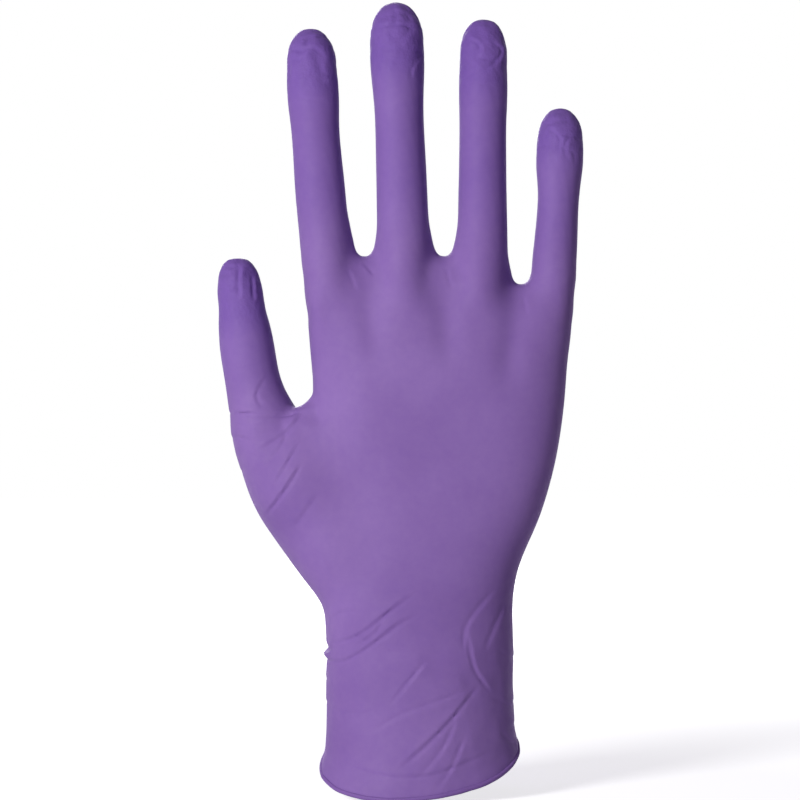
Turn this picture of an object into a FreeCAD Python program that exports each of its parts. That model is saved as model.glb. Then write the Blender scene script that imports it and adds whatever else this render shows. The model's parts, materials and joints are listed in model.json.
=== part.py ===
import FreeCAD, Part
import math
import os

# A thin disposable glove, drawn in the shape that a worn one has: fingers up along +Z,
# the back of the hand towards -Y, the palm towards +Y and the thumb towards -X.
# The origin is the middle of the wrist opening, in the plane of the rim. Millimetres.
# The film is one dipped skin. It is divided here where it flexes: a stiff stall or
# panel rides on one body, and a flex band lies across each joint.

# ------------------------------------------------------------------ driving dimensions
film = 0.12                     # thickness of the dipped film
rim_slope_back = 0.45           # the rim rises towards the palm side, mm per mm
rim_slope_side = 0.09           # and a little towards the little finger
bead_height = 1.5               # the rolled edge, along the cuff
bead_proud = 0.55               # how far the roll stands out and in from the film

wrist_z = 42.0                  # height of the wrist's bend line
wrist_limit = 55.0              # degrees, each way
wrist_radius = 19.0
knuckle_z = 128.0               # height of the row of knuckles
knuckle_limit = 75.0
knuckle_radius = 11.0
root_limit = 30.0               # each finger's own bend at its root
middle_limit = 85.0             # the finger's middle joint
tip_share = 0.65                # the tip joint turns this share of the middle joint
thumb_root_limit = 45.0
thumb_tip_limit = 70.0
flex_spare = 0.8                # a flex band is this much longer than the bend needs, each end

web_clear = 1.5                 # a finger's first cut lies this far above its web
web_notch_x, web_notch_z = -36.6, 105.2      # bottom of the gap between thumb and palm
palm_clear = 1.0                # the knuckle cuts stop this far into that gap
thumb_lean = 10.0               # degrees the thumb leans away from upright
thumb_root_radius = 9.0
thumb_tip_radius = 7.9
thumb_tip_place = 23.5          # the tip joint, along the thumb from the notch
thumb_reach = 60.0              # more than the thumb's length from the notch
past_end = 5.0                  # a stall's last cut lies this far beyond its end

# tube of cuff, wrist and palm: height, edge on the thumb side, edge on the little finger
# side, depth to the back of the hand, depth to the palm side, squareness of the section
trunk = [
    (-16.0, -30.8, 31.0, 22.6, 22.6, 2.1),
    (-3.0, -29.9, 30.2, 22.2, 22.2, 2.1),
    (6.0, -28.5, 28.8, 21.6, 21.6, 2.1),
    (20.0, -28.1, 28.0, 20.6, 20.6, 2.15),
    (34.0, -28.3, 28.0, 19.2, 19.4, 2.2),
    (46.0, -29.0, 28.0, 18.2, 18.8, 2.25),
    (58.0, -30.2, 30.0, 16.6, 17.6, 2.35),
    (74.0, -31.2, 36.0, 15.0, 16.2, 2.5),
    (92.0, -31.8, 40.9, 13.9, 14.6, 2.6),
    (108.0, -32.0, 43.2, 13.0, 12.9, 2.7),
    (120.0, -32.2, 44.2, 12.2, 11.6, 2.7),
    (130.0, -32.4, 43.8, 10.2, 9.7, 2.6),
    (138.0, -31.6, 42.2, 7.2, 6.8, 2.5),
]

# each finger: name, web level, middle joint, tip joint, end, and its centre line as
# height, x, y, half width, half depth from the knuckle up to the last full section
fingers = [
    ("index", 151.2, 174.0, 196.0, 219.5, [
        (118.0, -24.0, -0.6, 7.6, 9.6),
        (134.0, -26.2, -0.4, 7.8, 9.6),
        (146.0, -27.4, 0.0, 7.9, 8.8),
        (156.0, -28.6, 0.3, 7.4, 7.7),
        (174.0, -30.3, 1.2, 7.3, 7.5),
        (190.0, -31.6, 2.6, 7.15, 7.1),
        (200.0, -32.2, 3.7, 7.7, 7.3),
        (208.5, -32.7, 4.8, 7.4, 7.0),
    ]),
    ("middle", 151.2, 178.5, 202.5, 227.5, [
        (118.0, -3.6, -1.6, 7.8, 10.2),
        (134.0, -4.2, -1.4, 8.1, 10.2),
        (146.0, -4.7, -0.8, 8.2, 9.2),
        (156.0, -5.0, -0.4, 7.8, 8.0),
        (178.5, -5.7, 0.8, 7.35, 7.7),
        (197.0, -6.4, 2.3, 7.35, 7.3),
        (208.0, -6.8, 3.6, 8.0, 7.5),
        (216.0, -7.0, 4.7, 7.9, 7.3),
    ]),
    ("ring", 151.2, 176.0, 198.0, 222.5, [
        (118.0, 17.0, -1.2, 7.5, 9.8),
        (134.0, 17.9, -1.0, 7.7, 9.8),
        (146.0, 18.5, -0.5, 7.8, 8.9),
        (156.0, 18.8, -0.1, 7.5, 7.7),
        (176.0, 18.9, 1.0, 7.05, 7.4),
        (192.0, 19.0, 2.3, 6.95, 7.0),
        (203.0, 19.1, 3.5, 7.2, 7.1),
        (211.0, 19.2, 4.5, 7.0, 6.8),
    ]),
    ("little", 142.2, 163.0, 178.0, 195.5, [
        (112.0, 34.4, 0.6, 7.4, 8.8),
        (126.0, 37.2, 0.5, 7.5, 8.8),
        (138.0, 39.1, 0.6, 6.9, 7.9),
        (147.0, 40.3, 0.8, 6.4, 6.8),
        (163.0, 41.4, 1.5, 6.15, 6.5),
        (172.0, 41.9, 2.2, 6.3, 6.3),
        (178.5, 42.1, 2.8, 6.9, 6.5),
        (184.5, 42.3, 3.4, 6.8, 6.3),
    ]),
]

# the thumb and the ball of the thumb: height, x, y, half width, half depth
thumb_line = [
    (44.0, -13.0, 1.5, 11.0, 11.0),
    (55.9, -19.8, 3.5, 13.6, 13.5),
    (66.5, -26.4, 4.8, 15.2, 14.6),
    (77.0, -33.6, 5.2, 14.6, 14.2),
    (89.0, -41.2, 4.8, 12.8, 12.8),
    (99.0, -45.8, 4.2, 10.6, 10.8),
    (107.5, -49.0, 3.8, 8.9, 9.2),
    (117.0, -51.2, 3.6, 8.15, 8.4),
    (131.5, -53.3, 3.8, 7.6, 7.8),
    (140.0, -54.4, 4.2, 7.2, 7.2),
]
thumb_end_z = 150.1

# the film saddles between neighbouring fingers: x, level, half width
webs = [(-16.9, 151.2, 7.5), (6.9, 151.2, 7.0), (30.6, 142.2, 7.0)]
web_y = 0.2
web_squareness = 2.4
# how a saddle thins upwards: distance below its level, half depth there
web_profile = [(24.0, 9.7), (18.0, 9.5), (12.0, 8.9), (6.0, 7.3), (0.0, 1.8)]

# how a fingertip closes: distance below the end as a share of the last radius, and the
# share of the full section left there
tip_profile = [(1.10, 0.97), (0.72, 0.88), (0.38, 0.72), (0.14, 0.53), (0.0, 0.36)]

# ------------------------------------------------------------------ sections and lofts
RING_POINTS = 16
LOFT_DEGREE = 5
ROUND = 2.0                     # squareness of an ellipse


def section_wire(centre, across, through, half_across, back, front, squareness):
    """A closed smooth section: a superellipse with its own depth to each side."""
    points = []
    power = 2.0 / squareness
    for k in range(RING_POINTS):
        angle = 2.0 * math.pi * k / RING_POINTS
        c, s = math.cos(angle), math.sin(angle)
        u = half_across * math.copysign(abs(c) ** power, c)
        depth = front if s > 0 else back
        v = depth * math.copysign(abs(s) ** power, s)
        points.append(centre + across * u + through * v)
    curve = Part.BSplineCurve()
    curve.interpolate(Points=points, PeriodicFlag=True)
    return Part.Wire([curve.toShape()])


def trunk_solid(shrink):
    """The tube of cuff, wrist and palm; it runs on past the rim, where it is cut off."""
    wires = []
    for z, left, right, back, front, squareness in trunk:
        if z == trunk[-1][0]:
            z -= shrink
        centre = FreeCAD.Vector((left + right) / 2, 0, z)
        wires.append(section_wire(
            centre, FreeCAD.Vector(1, 0, 0), FreeCAD.Vector(0, 1, 0),
            (right - left) / 2 - shrink, back - shrink, front - shrink, squareness))
    return Part.makeLoft(wires, True, False, False, LOFT_DEGREE)


def directions(centres):
    """Unit tangents of a chain of centres."""
    result = []
    for k in range(len(centres)):
        before = centres[max(k - 1, 0)]
        after = centres[min(k + 1, len(centres) - 1)]
        tangent = after - before
        tangent.normalize()
        result.append(tangent)
    return result


def stall_solid(line, end_z, shrink):
    """A finger stall: a tube along its centre line, closed by a blunt round tip."""
    centres = [FreeCAD.Vector(x, y, z) for z, x, y, _, _ in line]
    tangents = directions(centres)
    halves = [(width, depth) for _, _, _, width, depth in line]
    last, heading = centres[-1], tangents[-1]
    reach = (end_z - line[-1][0]) / heading.z
    full = halves[-1]
    for below, share in tip_profile:
        centres.append(last + heading * (reach - below * full[0]))
        tangents.append(heading)
        halves.append((full[0] * share, full[1] * share))
    centres[-1] = centres[-1] - heading * shrink
    wires = []
    for centre, tangent, (width, depth) in zip(centres, tangents, halves):
        through = FreeCAD.Vector(0, 1, 0)
        across = through.cross(tangent)
        across.normalize()
        through = tangent.cross(across)
        wires.append(section_wire(centre, across, through, width - shrink,
                                  depth - shrink, depth - shrink, ROUND))
    return Part.makeLoft(wires, True, False, False, LOFT_DEGREE)


def web_solid(x, level, half, shrink):
    """The saddle of film between two fingers, thinning to a rounded ridge."""
    wires = []
    for below, depth in web_profile:
        z = level - below
        if below == web_profile[-1][0]:
            z -= shrink
        wires.append(section_wire(
            FreeCAD.Vector(x, web_y, z), FreeCAD.Vector(1, 0, 0), FreeCAD.Vector(0, 1, 0),
            half - shrink, depth - shrink, depth - shrink, web_squareness))
    return Part.makeLoft(wires, True, False, False, LOFT_DEGREE)


def hand_solid(shrink):
    """The whole glove as one closed solid: tube, stalls and saddles joined."""
    stalls = [stall_solid(line, end, shrink) for _, _, _, _, end, line in fingers]
    stalls.append(stall_solid(thumb_line, thumb_end_z, shrink))
    saddles = [web_solid(x, level, half, shrink) for x, level, half in webs]
    whole = trunk_solid(shrink)
    for part in stalls + saddles:
        whole = whole.fuse(part)
    return whole


# ------------------------------------------------------------------ cutting
BIG = 400.0


def slab(low, high, left=-BIG, right=BIG):
    """All space between two level planes, and between two upright ones."""
    return Part.makeBox(right - left, 2 * BIG, high - low, FreeCAD.Vector(left, -BIG, low))


def above_rim(offset):
    """All space above the rim's plane moved up by offset along Z."""
    box = Part.makeBox(2 * BIG, 2 * BIG, BIG, FreeCAD.Vector(-BIG, -BIG, 0))
    normal = FreeCAD.Vector(-rim_slope_side, -rim_slope_back, 1.0)
    turn = FreeCAD.Rotation(FreeCAD.Vector(0, 0, 1), normal)
    box.Placement = FreeCAD.Placement(FreeCAD.Vector(0, 0, offset), turn)
    return box


lean = math.radians(thumb_lean)
thumb_up = FreeCAD.Vector(-math.sin(lean), 0, math.cos(lean))
thumb_zero = FreeCAD.Vector(web_notch_x, 0, web_notch_z)


def thumb_slab(low, high):
    """Space on the thumb's side between two planes square to the thumb."""
    corner = FreeCAD.Vector(-thumb_reach, -BIG, 0)
    box = Part.makeBox(thumb_reach, 2 * BIG, high - low, corner)
    turn = FreeCAD.Rotation(FreeCAD.Vector(0, 1, 0), -thumb_lean)
    box.Placement = FreeCAD.Placement(thumb_zero + thumb_up * low, turn)
    return box


def flex_half(radius, limit):
    """Half the length of the band that a bend of this radius and limit needs."""
    return radius * math.tan(math.radians(limit) / 2) + flex_spare


def write(name, shape):
    solids = shape.Solids
    print("%-24s solids %d  volume %8.3f  box z %6.1f to %6.1f  valid %s" % (
        name, len(solids), shape.Volume, shape.BoundBox.ZMin, shape.BoundBox.ZMax,
        shape.isValid()))
    result = solids[0] if len(solids) == 1 else Part.makeCompound(solids)
    result.exportStep("parts/%s.step" % name)


# ------------------------------------------------------------------ the film
os.makedirs("parts", exist_ok=True)

outer = hand_solid(0.0)
inner = hand_solid(film)


def film_in(space, outside=outer, inside=inner):
    """The part of the film that lies in this space."""
    return outside.common(space).cut(inside)


wrist_half = flex_half(wrist_radius, wrist_limit)
knuckle_half = flex_half(knuckle_radius, knuckle_limit)
wrist_low, wrist_high = wrist_z - wrist_half, wrist_z + wrist_half
knuckle_low, knuckle_high = knuckle_z - knuckle_half, knuckle_z + knuckle_half
palm_side = web_notch_x - palm_clear

# the cuff and its rolled edge
cuff_space = above_rim(0.0).common(slab(-BIG, wrist_low))
roll_space = above_rim(0.0).cut(above_rim(bead_height))
write("cuff_sleeve", film_in(cuff_space.cut(roll_space)))
roll = trunk_solid(-bead_proud).cut(trunk_solid(film + bead_proud))
write("cuff_bead", roll.common(roll_space))

write("wrist_flex_band", film_in(slab(wrist_low, wrist_high)))

# the hand: up to the knuckle band, with the ball of the thumb up to the thumb's first cut
hand_space = slab(wrist_high, knuckle_low).cut(thumb_slab(web_clear, BIG))
write("hand_shell", film_in(hand_space))
write("knuckle_flex_band", film_in(slab(knuckle_low, knuckle_high, palm_side)))

# the block of finger roots and webs, with each finger cut off above its web
root_space = slab(knuckle_high, fingers[1][1] + web_clear, palm_side)
little_line = webs[2][0]
little_cut = fingers[3][1] + web_clear
root_space = root_space.cut(slab(little_cut, BIG, little_line))
write("finger_root_shell", film_in(root_space))


def half_width_at(line, z):
    """The larger half measure of a stall's section at a height."""
    for low, high in zip(line, line[1:]):
        if low[0] <= z <= high[0]:
            share = (z - low[0]) / (high[0] - low[0])
            return max(low[3] + share * (high[3] - low[3]), low[4] + share * (high[4] - low[4]))
    return max(line[-1][3], line[-1][4])


print("wrist band %.2f to %.2f, knuckle band %.2f to %.2f"
      % (wrist_low, wrist_high, knuckle_low, knuckle_high))
for name, web, middle_z, tip_z, end_z, line in fingers:
    start = web + web_clear
    root_z = start + flex_half(half_width_at(line, start), root_limit)
    root_top = 2 * root_z - start
    middle_half = flex_half(half_width_at(line, middle_z), middle_limit)
    tip_half = flex_half(half_width_at(line, tip_z), middle_limit * tip_share)
    cuts = [start, root_top, middle_z - middle_half, middle_z + middle_half,
            tip_z - tip_half, tip_z + tip_half, end_z + past_end]
    pieces = ["root_flex_band", "base_stall", "middle_flex_band", "middle_stall",
              "tip_flex_band", "fingertip"]
    outside = stall_solid(line, end_z, 0.0)
    inside = stall_solid(line, end_z, film)
    for piece, low, high in zip(pieces, cuts, cuts[1:]):
        write("%s_%s" % (name, piece), film_in(slab(low, high), outside, inside))
    print(name, "root hinge %.2f" % root_z, "cuts", ["%.2f" % c for c in cuts])

# the thumb, cut square to its own line
thumb_root_half = flex_half(thumb_root_radius, thumb_root_limit)
thumb_tip_half = flex_half(thumb_tip_radius, thumb_tip_limit)
thumb_cuts = [web_clear, web_clear + 2 * thumb_root_half, thumb_tip_place - thumb_tip_half,
              thumb_tip_place + thumb_tip_half, thumb_reach]
thumb_pieces = ["root_flex_band", "base_stall", "tip_flex_band", "tip_stall"]
outside = stall_solid(thumb_line, thumb_end_z, 0.0)
inside = stall_solid(thumb_line, thumb_end_z, film)
for piece, low, high in zip(thumb_pieces, thumb_cuts, thumb_cuts[1:]):
    write("thumb_%s" % piece, film_in(thumb_slab(low, high), outside, inside))
print("thumb cuts", ["%.2f" % c for c in thumb_cuts])
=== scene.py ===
import json
import math

import bmesh
import bpy
import numpy as np
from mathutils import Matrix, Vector
from mathutils.bvhtree import BVHTree


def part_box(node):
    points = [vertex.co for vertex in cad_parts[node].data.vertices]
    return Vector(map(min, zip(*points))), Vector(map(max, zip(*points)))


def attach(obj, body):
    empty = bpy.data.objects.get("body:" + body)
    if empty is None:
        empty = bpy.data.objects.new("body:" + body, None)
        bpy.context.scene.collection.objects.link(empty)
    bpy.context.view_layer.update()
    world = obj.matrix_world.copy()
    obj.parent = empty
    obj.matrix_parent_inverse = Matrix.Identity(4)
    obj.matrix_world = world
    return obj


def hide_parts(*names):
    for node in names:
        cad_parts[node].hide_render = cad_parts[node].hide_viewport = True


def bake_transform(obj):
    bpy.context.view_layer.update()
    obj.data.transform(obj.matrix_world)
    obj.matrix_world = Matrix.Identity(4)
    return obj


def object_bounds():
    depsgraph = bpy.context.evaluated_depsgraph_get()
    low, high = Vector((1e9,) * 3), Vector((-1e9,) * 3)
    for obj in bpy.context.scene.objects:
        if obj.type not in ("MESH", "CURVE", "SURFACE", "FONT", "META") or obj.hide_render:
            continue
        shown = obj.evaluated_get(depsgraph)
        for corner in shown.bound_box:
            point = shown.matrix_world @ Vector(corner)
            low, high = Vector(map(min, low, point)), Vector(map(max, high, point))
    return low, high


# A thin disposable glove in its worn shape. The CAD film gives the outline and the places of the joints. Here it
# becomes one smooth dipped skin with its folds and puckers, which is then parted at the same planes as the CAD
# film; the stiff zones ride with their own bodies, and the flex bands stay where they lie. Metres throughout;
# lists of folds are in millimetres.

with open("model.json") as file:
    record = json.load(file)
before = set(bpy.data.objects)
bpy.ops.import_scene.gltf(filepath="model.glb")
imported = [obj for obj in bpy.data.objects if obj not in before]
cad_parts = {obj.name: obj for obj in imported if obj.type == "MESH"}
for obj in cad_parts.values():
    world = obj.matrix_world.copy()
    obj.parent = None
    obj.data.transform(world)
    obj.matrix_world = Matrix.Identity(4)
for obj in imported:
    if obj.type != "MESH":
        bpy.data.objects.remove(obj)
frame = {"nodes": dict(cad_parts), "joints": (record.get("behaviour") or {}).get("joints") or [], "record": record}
cad_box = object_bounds()

MM = 0.001
FILM = 0.12 * MM                # thickness of the dipped film
BEAD_RADIUS = 0.72 * MM         # half the rolled edge's height
BEAD_THICK = 0.60 * MM          # half its width, through the film
BEAD_HEIGHT = 1.5 * MM          # of the CAD bead, which the film starts half way up
BEAD_POINTS = 240               # around the rim
BEAD_SIDES = 16                 # around the bead itself

GRID = 1.22 * MM                # spacing of the grid that the skin is shaped on
# in grid steps
MARGIN = 7                      # empty room round the film
REACH = 5.5                     # how far from the film distances are measured
SEALED = 0.9                    # half the thickness of the wall that the flood can't pass
PROBE = 2.1                     # how far past the film its side is looked up

FINE = 1.0 * MM                 # smoothing of the cuff and the thumb
MEDIUM = 2.1 * MM               # of the fingers and the wrist
BROAD = 5.4 * MM                # of the palm and the back of the hand

HAND_OFFSET = 0.85 * MM         # what smoothing takes off the back of the hand and palm,
FINGER_OFFSET = 0.25 * MM       # off the fingers,
ROOT_OFFSET = 0.5 * MM          # off the little finger's root, as it adds to the index's,
BALL_OFFSET = 0.8 * MM          # and off the outside of the thumb's ball
ROOT_HEIGHTS = np.array((129, 136, 142, 150)) * MM      # where the last two offsets
BALL_HEIGHTS = np.array((84, 93, 97, 104)) * MM         # start, are full, fade and end

# Where one amount of smoothing or offset gives way to the next, from the first place to the
# second, in millimetres.
WRIST_MEDIUM = (-12, 2)         # up from the wrist's joint: fine to medium smoothing,
WRIST_BROAD = (-8, 8)           # medium to broad,
WRIST_OFFSET = (12, 32)         # and none of the hand's offset to all of it
KNUCKLE_MEDIUM = (21, 3)        # up from the knuckles' joint: medium back to broad smoothing,
KNUCKLE_OFFSET = (12, -6)       # no offset back to the hand's,
FINGER_START = (0, 15)          # and none of the fingers' offset to all of it
INDEX_ACROSS = (-16, -26)       # the index finger's side of the palm, across
INDEX_UP = (84, 98)             # and up
LITTLE_ACROSS = (38, 44)        # the little finger's outer side
BALL_ACROSS = (-44, -50)        # the outer side of the thumb's ball
NOTCH_ACROSS = (10, 4)          # across from the thumb's gap: palm to the gap's bottom
NOTCH_UP = (-7, 0)              # up from the thumb's root, the same
THUMB_ACROSS = (2, -2)          # palm to thumb, across
THUMB_UP = (-14, -2)            # and up

CAMERA_FAR = 1.0                # from the camera to the hand
VIEW_WIDTH = 0.2409             # of the view at the hand
VIEW_CENTRE = (-6.0 * MM, 107.6 * MM)                   # across and up
SENSOR_WIDTH = 36.0
FLOOR_HALF = 3.0                # half the floor's width
FLOOR_GAP = 0.4 * MM            # below the glove
LIFT_NEAR = (0.12, 0.6)         # how far out and how strongly the floor starts to be lifted
LIFT_FAR = (0.6, 1.0)           # to white, and where and how strongly it is fully so
LAMP_AIM = (0, 0, 0.11)
LAMPS = (("key", (-0.80, -1.10, 0.50), 0.4, 14.6),      # name, place, width and power
         ("behind", (-0.30, 1.30, 0.60), 0.5, 9.0))
AMBIENT = 0.07                  # strength of the light from all round
AMBIENT_COLOUR = "#D8BCFF"

bodies_of = {node: body for body, nodes in frame["record"]["behaviour"]["bodies"].items()
             for node in nodes}
joints = {joint["name"]: joint for joint in frame["joints"]}
FINGERS = ("index", "middle", "ring", "little")


# ------------------------------------------------------------------ measures of the frame
def low(node):
    return np.array(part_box(node)[0])


def high(node):
    return np.array(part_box(node)[1])


rim_out = np.array(frame["record"]["mounts"][0]["axis"])     # out of the cuff's mouth
knuckle_height = joints["knuckle_bend"]["pos_m"][2]
wrist_height = joints["wrist_bend"]["pos_m"][2]
NOTCH = np.array((-36.6, 0.0, 105.2)) * MM   # bottom of the gap between thumb and palm
CUFF_FLARE = 0.65 * MM          # how far the film stands out at the rim
FLARE_START = 6.0 * MM          # and the height from which it does
SHAFT_SLACK_AND_SHADE = 0.50              # how loose the film is along the fingers, 1 being hanging; also how much painted shade the fingers take

# Film that spans the hollow beside the thumb's gap, as round stretches: start and end from
# the bottom of the gap, and the radius at each, in millimetres.
THUMB_WEB = (
    ((-2.5, -0.5, -6.8), (4.5, -1.5, -3.0), 5.6, 4.8),       # the web
    ((0.0, -1.0, -7.0), (-1.0, -1.5, -24.0), 6.5, 11.5),     # down the ball of the thumb
    ((4.5, -1.5, 0.1), (7.0, -1.5, 3.0), 2.6, 2.6),          # its corner on the palm's side
    ((4.0, -1.0, -9.0), (12.5, -2.0, -45.0), 8.0, 13.0),     # down beside the palm
)
BRIDGE_ROOM = 12 * MM           # how far round its middle line such a stretch is drawn
# The palm's edge from the index finger's root down, as one more stretch: how far in from the
# finger roots' edge, through the hand, and up from the zone that each end is in.
EDGE_TOP = np.array((8.9, -0.4, 5.0)) * MM
EDGE_BOTTOM = np.array((12.1, -0.4, -8.0)) * MM
EDGE_RADIUS = 8.0 * MM

# where a finger widens into its web: the finger, its side and by how many millimetres
FLARES = (("index", 1, 2.2), ("middle", -1, 2.2), ("middle", 1, 2.4), ("ring", -1, 2.2),
          ("ring", 1, 3.1), ("little", -1, 0.2))
FLARE_RADIUS = 3.2 * MM         # at its foot, beside the web
FLARE_END = 2.4 * MM            # and where it runs out, inside the finger
FLARE_FOOT = 2.5 * MM           # how far below the finger's root it starts,
FLARE_TOP = 9.5 * MM            # how far above it ends,
FLARE_IN = 3.0 * MM             # and how far in from the finger's side that is
FLARE_Y = 0.2 * MM              # the depth at which it runs
WEB_RADIUS = 2.5 * MM           # of the rounded bottom between two fingers
WEB_DROP = 2.9 * MM             # from the lower of two finger roots to that bottom
WEB_DEPTH = 13 * MM             # more than half the depth of the hand there


def rim_height(x, y):
    """Height of the rim's plane over a point."""
    return -(rim_out[0] * x + rim_out[1] * y) / rim_out[2]


thumb_axis = np.array(joints["thumb_root_bend"]["axis"])
thumb_up = np.array((thumb_axis[2], 0.0, -thumb_axis[0]))       # along the thumb to its tip
thumb_across = -thumb_axis                                      # from the thumb to the palm
thumb_side = (high("thumb_root_flex_band")[0] + low("knuckle_flex_band")[0]) / 2


def corners(node):
    mesh = frame["nodes"][node].data
    points = np.empty(len(mesh.vertices) * 3)
    mesh.vertices.foreach_get("co", points)
    return points.reshape(-1, 3)


def along_thumb(node):
    """Lowest and highest place of a node along the thumb."""
    places = corners(node) @ thumb_up
    return places.min(), places.max()


# the gap between thumb and palm, measured square to the thumb
thumb_edge = ((corners("thumb_root_flex_band") @ thumb_across).max()
              + (corners("knuckle_flex_band") @ thumb_across).min()) / 2


# ------------------------------------------------------------------ the solid as a field
def film_triangles():
    """The CAD film, without the rolled edge, as points and triangles."""
    points, triangles, count = [], [], 0
    for name, node in frame["nodes"].items():
        if name == "cuff_bead":
            continue
        node.data.calc_loop_triangles()
        corner = np.empty(len(node.data.loop_triangles) * 3, int)
        node.data.loop_triangles.foreach_get("vertices", corner)
        points.append(corners(name))
        triangles.append(corner.reshape(-1, 3) + count)
        count += len(points[-1])
    return np.concatenate(points), np.concatenate(triangles)


def flood(free):
    """Everything that can be reached from the sides and the top through free space."""
    reached = np.zeros_like(free)
    for edge in ((0, 0), (0, -1), (1, 0), (1, -1), (2, -1)):
        face = [slice(None)] * 3
        face[edge[0]] = edge[1]
        reached[tuple(face)] = free[tuple(face)]
    before = -1
    while reached.sum() != before:
        before = reached.sum()
        for axis in range(3):
            moved = np.moveaxis(reached, axis, 0)
            open_space = np.moveaxis(free, axis, 0)
            length = moved.shape[0]
            for k in range(1, length):
                moved[k] |= moved[k - 1] & open_space[k]
            for k in range(length - 2, -1, -1):
                moved[k] |= moved[k + 1] & open_space[k]
    return reached


def blur(field, sigma):
    """Gaussian smoothing of a field; sigma in grid steps."""
    reach = int(math.ceil(3 * sigma))
    weights = np.exp(-0.5 * (np.arange(-reach, reach + 1) / sigma) ** 2)
    weights /= weights.sum()
    for axis in range(3):
        padded = np.pad(field, [(reach, reach) if a == axis else (0, 0) for a in range(3)],
                        mode="edge")
        total = np.zeros_like(field)
        for k, weight in enumerate(weights):
            part = [slice(None)] * 3
            part[axis] = slice(k, k + field.shape[axis])
            total += weight * padded[tuple(part)]
        field = total
    return field


def smoothed(field, radius):
    """Gaussian smoothing that takes back most of what it would shrink."""
    once = blur(field, radius / GRID)
    return 2 * once - blur(once, radius / GRID)


def ramp(value, start, end):
    """0 before start, 1 past end, smooth between; start may be above end."""
    t = np.clip((value - start) / (end - start), 0, 1)
    return t * t * (3 - 2 * t)


def ramp_from(base, places, value):
    """A ramp between two places that are given in millimetres from a base."""
    return ramp(value, base + places[0] * MM, base + places[1] * MM)


def between(value, start, full, fade, end):
    """0 up to start, 1 from full to fade, and 0 again from end on."""
    return ramp(value, start, full) * ramp(value, end, fade)


def near_cells(tree, origin, shape, reach):
    """Grid points near the film: whole blocks of 3 by 3 by 3 whose middle is near it."""
    blocks = np.argwhere(np.ones(shape // 3, bool)) * 3 + 1
    found = [block for block in blocks
             if tree.find_nearest(origin + block * GRID, reach)[0] is not None]
    steps = np.argwhere(np.ones((3, 3, 3), bool)) - 1
    return (np.array(found)[:, None, :] + steps[None, :, :]).reshape(-1, 3)


def solid_field():
    """Distance to the glove's outer skin at each grid point, negative inside."""
    points, triangles = film_triangles()
    margin = MARGIN * GRID
    origin = np.array(cad_box[0]) - margin
    shape = np.ceil((np.array(cad_box[1]) + margin - origin) / GRID / 3).astype(int) * 3
    tree = BVHTree.FromPolygons(points.tolist(), triangles.tolist())
    reach = REACH * GRID
    where = near_cells(tree, origin, shape, reach)
    places = origin + where * GRID
    nearest = np.array([tree.find_nearest(place)[0] for place in places])
    far = np.full(shape, reach)
    gap = np.linalg.norm(places - nearest, axis=1)
    far[tuple(where.T)] = gap
    x, y, z = (origin[a] + np.arange(shape[a]) * GRID for a in range(3))
    floor = rim_height(x[:, None], y[None, :]) + BEAD_HEIGHT + GRID
    first = np.clip(np.ceil((floor - origin[2]) / GRID).astype(int), 0, shape[2] - 1)
    level = np.arange(shape[2])
    above = level[None, None, :] >= first[:, :, None]
    outside = flood((far > SEALED * GRID) & above)
    down_to_first = np.maximum(level[None, None, :], first[:, :, None])
    outside = np.take_along_axis(outside, down_to_first, 2)
    sign = np.where(outside, 1.0, -1.0)
    away = (places - nearest) / np.maximum(gap, 1e-9)[:, None]
    probe = np.rint((nearest + away * PROBE * GRID - origin) / GRID).astype(int)
    probe = np.clip(probe, 0, shape - 1)
    sign[tuple(where.T)] = np.where(outside[tuple(probe.T)], 1.0, -1.0)
    field = sign * far - np.where(sign < 0, FILM, 0.0)
    return np.take_along_axis(field, down_to_first, 2), origin, (x, y, z)


def bridge(field, origin, start, end, start_radius, end_radius, hollow=False):
    """Adds a round stretch between two points to the field, or takes it away."""
    start, end = np.array(start), np.array(end)
    low_cell = np.floor((np.minimum(start, end) - BRIDGE_ROOM - origin) / GRID).astype(int)
    high_cell = np.ceil((np.maximum(start, end) + BRIDGE_ROOM - origin) / GRID).astype(int)
    low_cell, high_cell = np.maximum(low_cell, 0), np.minimum(high_cell, field.shape)
    block = tuple(slice(a, b) for a, b in zip(low_cell, high_cell))
    places = np.stack(np.meshgrid(*(origin[a] + np.arange(low_cell[a], high_cell[a]) * GRID
                                    for a in range(3)), indexing="ij"), axis=-1)
    step = end - start
    share = np.clip((places - start) @ step / (step @ step), 0, 1)
    gap = np.linalg.norm(places - start - share[..., None] * step, axis=-1)
    gap -= start_radius + share * (end_radius - start_radius)
    field[block] = np.maximum(field[block], -gap) if hollow else np.minimum(field[block], gap)


def add_thumb_web(field, origin):
    """The film beside the thumb's gap, and the palm's edge from there to the index finger."""
    for start, end, start_radius, end_radius in THUMB_WEB:
        bridge(field, origin, NOTCH + np.array(start) * MM, NOTCH + np.array(end) * MM,
               start_radius * MM, end_radius * MM)
    edge, _, roots = low("finger_root_shell")
    top = EDGE_TOP + (edge, 0, roots)
    bottom = EDGE_BOTTOM + (edge, 0, low("knuckle_flex_band")[2])
    bridge(field, origin, top, bottom, EDGE_RADIUS, EDGE_RADIUS)


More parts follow.
